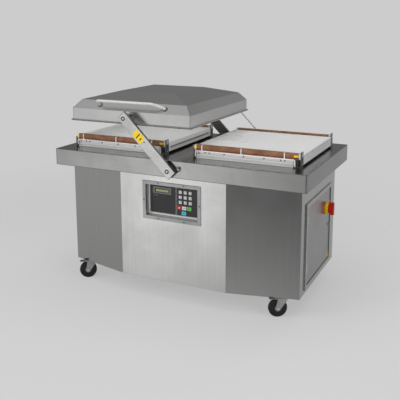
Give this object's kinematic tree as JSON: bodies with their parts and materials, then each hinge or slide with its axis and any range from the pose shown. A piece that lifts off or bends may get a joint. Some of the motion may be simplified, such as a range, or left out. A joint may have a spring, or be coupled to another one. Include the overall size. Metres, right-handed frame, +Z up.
{
  "type": "vacuum packing machine",
  "caption": "Floor-standing vacuum packing machine on castors: deep stainless worktop with two chambers that share one hipped swing lid, recessed control panel, side service door.",
  "frame": {"origin": "on the floor, under the middle of the worktop", "axes": "+X along the worktop to the operator's right, +Y away from the operator, +Z up"},
  "size_m": [1.8, 1.078, 1.348],
  "materials": {
    "stainless": "brushed",
    "satin_steel": "satin",
    "bracket_steel": "satin",
    "zinc_steel": "satin",
    "seal_bar_profile": "satin",
    "polyethylene": "matt",
    "black_rubber": "matt",
    "castor_tyre": "matt",
    "silicone": "matt",
    "fascia": "satin",
    "pump_paint": "painted",
    "electrics_plastic": "matt",
    "light_key": "matt",
    "red_key": "matt",
    "green_key": "matt",
    "blue_key": "matt",
    "switch_yellow": "gloss",
    "switch_red": "gloss"
  },
  "bodies": {
    "cabinet": {"worktop": "stainless", "base_frame": "stainless", "front_panel": "stainless", "rear_panel": "stainless", "side_panel_left": "stainless", "side_panel_right": "stainless", "control_bezel": "satin_steel", "control_fascia": "fascia", "electrics_box": "electrics_plastic", "vacuum_pump": "pump_paint", "cable_gland": "black_rubber", "guide_anchor": "satin_steel", "seal_guide_front_left": "bracket_steel", "seal_guide_front_right": "bracket_steel", "seal_guide_rear_left": "bracket_steel", "seal_guide_rear_right": "bracket_steel"},
    "swing": {"swing_arm_front": "stainless", "swing_arm_rear": "stainless", "swing_shaft": "satin_steel"},
    "lid": {"lid_shell": "stainless", "lid_gasket": "black_rubber", "lid_handle": "satin_steel", "counter_bar_front": "silicone", "counter_bar_rear": "silicone", "lid_pivot_front": "satin_steel", "lid_link_rear": "satin_steel"},
    "guide_rod": {"guide_rod": "satin_steel"},
    "door": {"service_door": "stainless", "switch_base": "switch_yellow"},
    "latch": {"door_latch": "zinc_steel"},
    "main_switch": {"switch_knob": "switch_red"},
    "plates_left": {"product_plates_left": "polyethylene"},
    "seal_bar_front_left": {"seal_bar_front_left": "seal_bar_profile"},
    "seal_bar_rear_left": {"seal_bar_rear_left": "seal_bar_profile"},
    "plates_right": {"product_plates_right": "polyethylene"},
    "seal_bar_front_right": {"seal_bar_front_right": "seal_bar_profile"},
    "seal_bar_rear_right": {"seal_bar_rear_right": "seal_bar_profile"},
    "key_1": {"key_1": "light_key"},
    "key_2": {"key_2": "light_key"},
    "key_3": {"key_3": "light_key"},
    "key_4": {"key_4": "light_key"},
    "key_5": {"key_5": "light_key"},
    "key_6": {"key_6": "light_key"},
    "key_7": {"key_7": "light_key"},
    "key_8": {"key_8": "light_key"},
    "key_9": {"key_9": "light_key"},
    "key_stop": {"key_stop": "red_key"},
    "key_select": {"key_select": "light_key"},
    "key_start": {"key_start": "green_key"},
    "key_air": {"key_air": "blue_key"},
    "fork_front_left": {"castor_fork_front_left": "zinc_steel"},
    "wheel_front_left": {"castor_wheel_front_left": "castor_tyre"},
    "brake_front_left": {"brake_pedal_front_left": "zinc_steel"},
    "fork_front_right": {"castor_fork_front_right": "zinc_steel"},
    "wheel_front_right": {"castor_wheel_front_right": "castor_tyre"},
    "brake_front_right": {"brake_pedal_front_right": "zinc_steel"},
    "fork_rear_left": {"castor_fork_rear_left": "zinc_steel"},
    "wheel_rear_left": {"castor_wheel_rear_left": "castor_tyre"},
    "fork_rear_right": {"castor_fork_rear_right": "zinc_steel"},
    "wheel_rear_right": {"castor_wheel_rear_right": "castor_tyre"}
  },
  "joints": [
    {"name": "lid_swing", "type": "hinge", "parent": "cabinet", "child": "swing", "pos_m": [0, 0, 0.891], "axis": [0, 1, 0], "range_deg": [-30.4, 120.4]},
    {"name": "lid_level", "type": "hinge", "parent": "swing", "child": "lid", "pos_m": [-0.31608, 0, 1.20708], "axis": [0, 1, 0], "range_deg": [-120.4, 30.4]},
    {"name": "guide_swing", "type": "hinge", "parent": "cabinet", "child": "guide_rod", "pos_m": [0.31, 0.52015, 0.891], "axis": [0, 1, 0], "range_deg": [-30.4, 120.4]},
    {"name": "door_hinge", "type": "hinge", "parent": "cabinet", "child": "door", "pos_m": [0.84, -0.263, 0.435], "axis": [0, 0, -1], "range_deg": [0, 100]},
    {"name": "latch_turn", "type": "hinge", "parent": "door", "child": "latch", "pos_m": [0.839, 0.262, 0.427], "axis": [1, 0, 0], "range_deg": [0, 90]},
    {"name": "main_switch_turn", "type": "hinge", "parent": "door", "child": "main_switch", "pos_m": [0.851, 0.213, 0.555], "axis": [1, 0, 0], "range_deg": [0, 90]},
    {"name": "plates_left_lift", "type": "slide", "parent": "cabinet", "child": "plates_left", "axis": [0, 0, 1], "range_m": [0, 0.05]},
    {"name": "seal_bar_front_left_lift", "type": "slide", "parent": "cabinet", "child": "seal_bar_front_left", "axis": [0, 0, 1], "range_m": [0, 0.0065], "stiffness_N_per_m": 600},
    {"name": "seal_bar_rear_left_lift", "type": "slide", "parent": "cabinet", "child": "seal_bar_rear_left", "axis": [0, 0, 1], "range_m": [0, 0.0065], "stiffness_N_per_m": 600},
    {"name": "plates_right_lift", "type": "slide", "parent": "cabinet", "child": "plates_right", "axis": [0, 0, 1], "range_m": [0, 0.05]},
    {"name": "seal_bar_front_right_lift", "type": "slide", "parent": "cabinet", "child": "seal_bar_front_right", "axis": [0, 0, 1], "range_m": [0, 0.0065], "stiffness_N_per_m": 600},
    {"name": "seal_bar_rear_right_lift", "type": "slide", "parent": "cabinet", "child": "seal_bar_rear_right", "axis": [0, 0, 1], "range_m": [0, 0.0065], "stiffness_N_per_m": 600},
    {"name": "key_1_press", "type": "slide", "parent": "cabinet", "child": "key_1", "axis": [0, 1, 0], "range_m": [0, 0.001], "stiffness_N_per_m": 600},
    {"name": "key_2_press", "type": "slide", "parent": "cabinet", "child": "key_2", "axis": [0, 1, 0], "range_m": [0, 0.001], "stiffness_N_per_m": 600},
    {"name": "key_3_press", "type": "slide", "parent": "cabinet", "child": "key_3", "axis": [0, 1, 0], "range_m": [0, 0.001], "stiffness_N_per_m": 600},
    {"name": "key_4_press", "type": "slide", "parent": "cabinet", "child": "key_4", "axis": [0, 1, 0], "range_m": [0, 0.001], "stiffness_N_per_m": 600},
    {"name": "key_5_press", "type": "slide", "parent": "cabinet", "child": "key_5", "axis": [0, 1, 0], "range_m": [0, 0.001], "stiffness_N_per_m": 600},
    {"name": "key_6_press", "type": "slide", "parent": "cabinet", "child": "key_6", "axis": [0, 1, 0], "range_m": [0, 0.001], "stiffness_N_per_m": 600},
    {"name": "key_7_press", "type": "slide", "parent": "cabinet", "child": "key_7", "axis": [0, 1, 0], "range_m": [0, 0.001], "stiffness_N_per_m": 600},
    {"name": "key_8_press", "type": "slide", "parent": "cabinet", "child": "key_8", "axis": [0, 1, 0], "range_m": [0, 0.001], "stiffness_N_per_m": 600},
    {"name": "key_9_press", "type": "slide", "parent": "cabinet", "child": "key_9", "axis": [0, 1, 0], "range_m": [0, 0.001], "stiffness_N_per_m": 600},
    {"name": "key_stop_press", "type": "slide", "parent": "cabinet", "child": "key_stop", "axis": [0, 1, 0], "range_m": [0, 0.001], "stiffness_N_per_m": 600},
    {"name": "key_select_press", "type": "slide", "parent": "cabinet", "child": "key_select", "axis": [0, 1, 0], "range_m": [0, 0.001], "stiffness_N_per_m": 600},
    {"name": "key_start_press", "type": "slide", "parent": "cabinet", "child": "key_start", "axis": [0, 1, 0], "range_m": [0, 0.001], "stiffness_N_per_m": 600},
    {"name": "key_air_press", "type": "slide", "parent": "cabinet", "child": "key_air", "axis": [0, 1, 0], "range_m": [0, 0.001], "stiffness_N_per_m": 600},
    {"name": "swivel_front_left", "type": "hinge", "parent": "cabinet", "child": "fork_front_left", "pos_m": [-0.707, -0.372, 0.1407], "axis": [0, 0, 1], "continuous": true},
    {"name": "roll_front_left", "type": "hinge", "parent": "fork_front_left", "child": "wheel_front_left", "pos_m": [-0.73838, -0.39161, 0.06], "axis": [0.5299, -0.848, 0], "continuous": true},
    {"name": "brake_front_left_press", "type": "hinge", "parent": "fork_front_left", "child": "brake_front_left", "pos_m": [-0.74771, -0.39744, 0.124], "axis": [0.5299, -0.848, 0], "range_deg": [0, 12]},
    {"name": "swivel_front_right", "type": "hinge", "parent": "cabinet", "child": "fork_front_right", "pos_m": [0.731, -0.372, 0.1407], "axis": [0, 0, 1], "continuous": true},
    {"name": "roll_front_right", "type": "hinge", "parent": "fork_front_right", "child": "wheel_front_right", "pos_m": [0.69962, -0.39161, 0.06], "axis": [0.5299, -0.848, 0], "continuous": true},
    {"name": "brake_front_right_press", "type": "hinge", "parent": "fork_front_right", "child": "brake_front_right", "pos_m": [0.69029, -0.39744, 0.124], "axis": [0.5299, -0.848, 0], "range_deg": [0, 12]},
    {"name": "swivel_rear_left", "type": "hinge", "parent": "cabinet", "child": "fork_rear_left", "pos_m": [-0.707, 0.3, 0.1407], "axis": [0, 0, 1], "continuous": true},
    {"name": "roll_rear_left", "type": "hinge", "parent": "fork_rear_left", "child": "wheel_rear_left", "pos_m": [-0.73838, 0.28039, 0.06], "axis": [0.5299, -0.848, 0], "continuous": true},
    {"name": "swivel_rear_right", "type": "hinge", "parent": "cabinet", "child": "fork_rear_right", "pos_m": [0.731, 0.3, 0.1407], "axis": [0, 0, 1], "continuous": true},
    {"name": "roll_rear_right", "type": "hinge", "parent": "fork_rear_right", "child": "wheel_rear_right", "pos_m": [0.69962, 0.28039, 0.06], "axis": [0.5299, -0.848, 0], "continuous": true}
  ],
  "couplings": [
    {"joint": "lid_level", "follows": "lid_swing", "ratio": -1},
    {"joint": "guide_swing", "follows": "lid_swing", "ratio": 1}
  ]
}
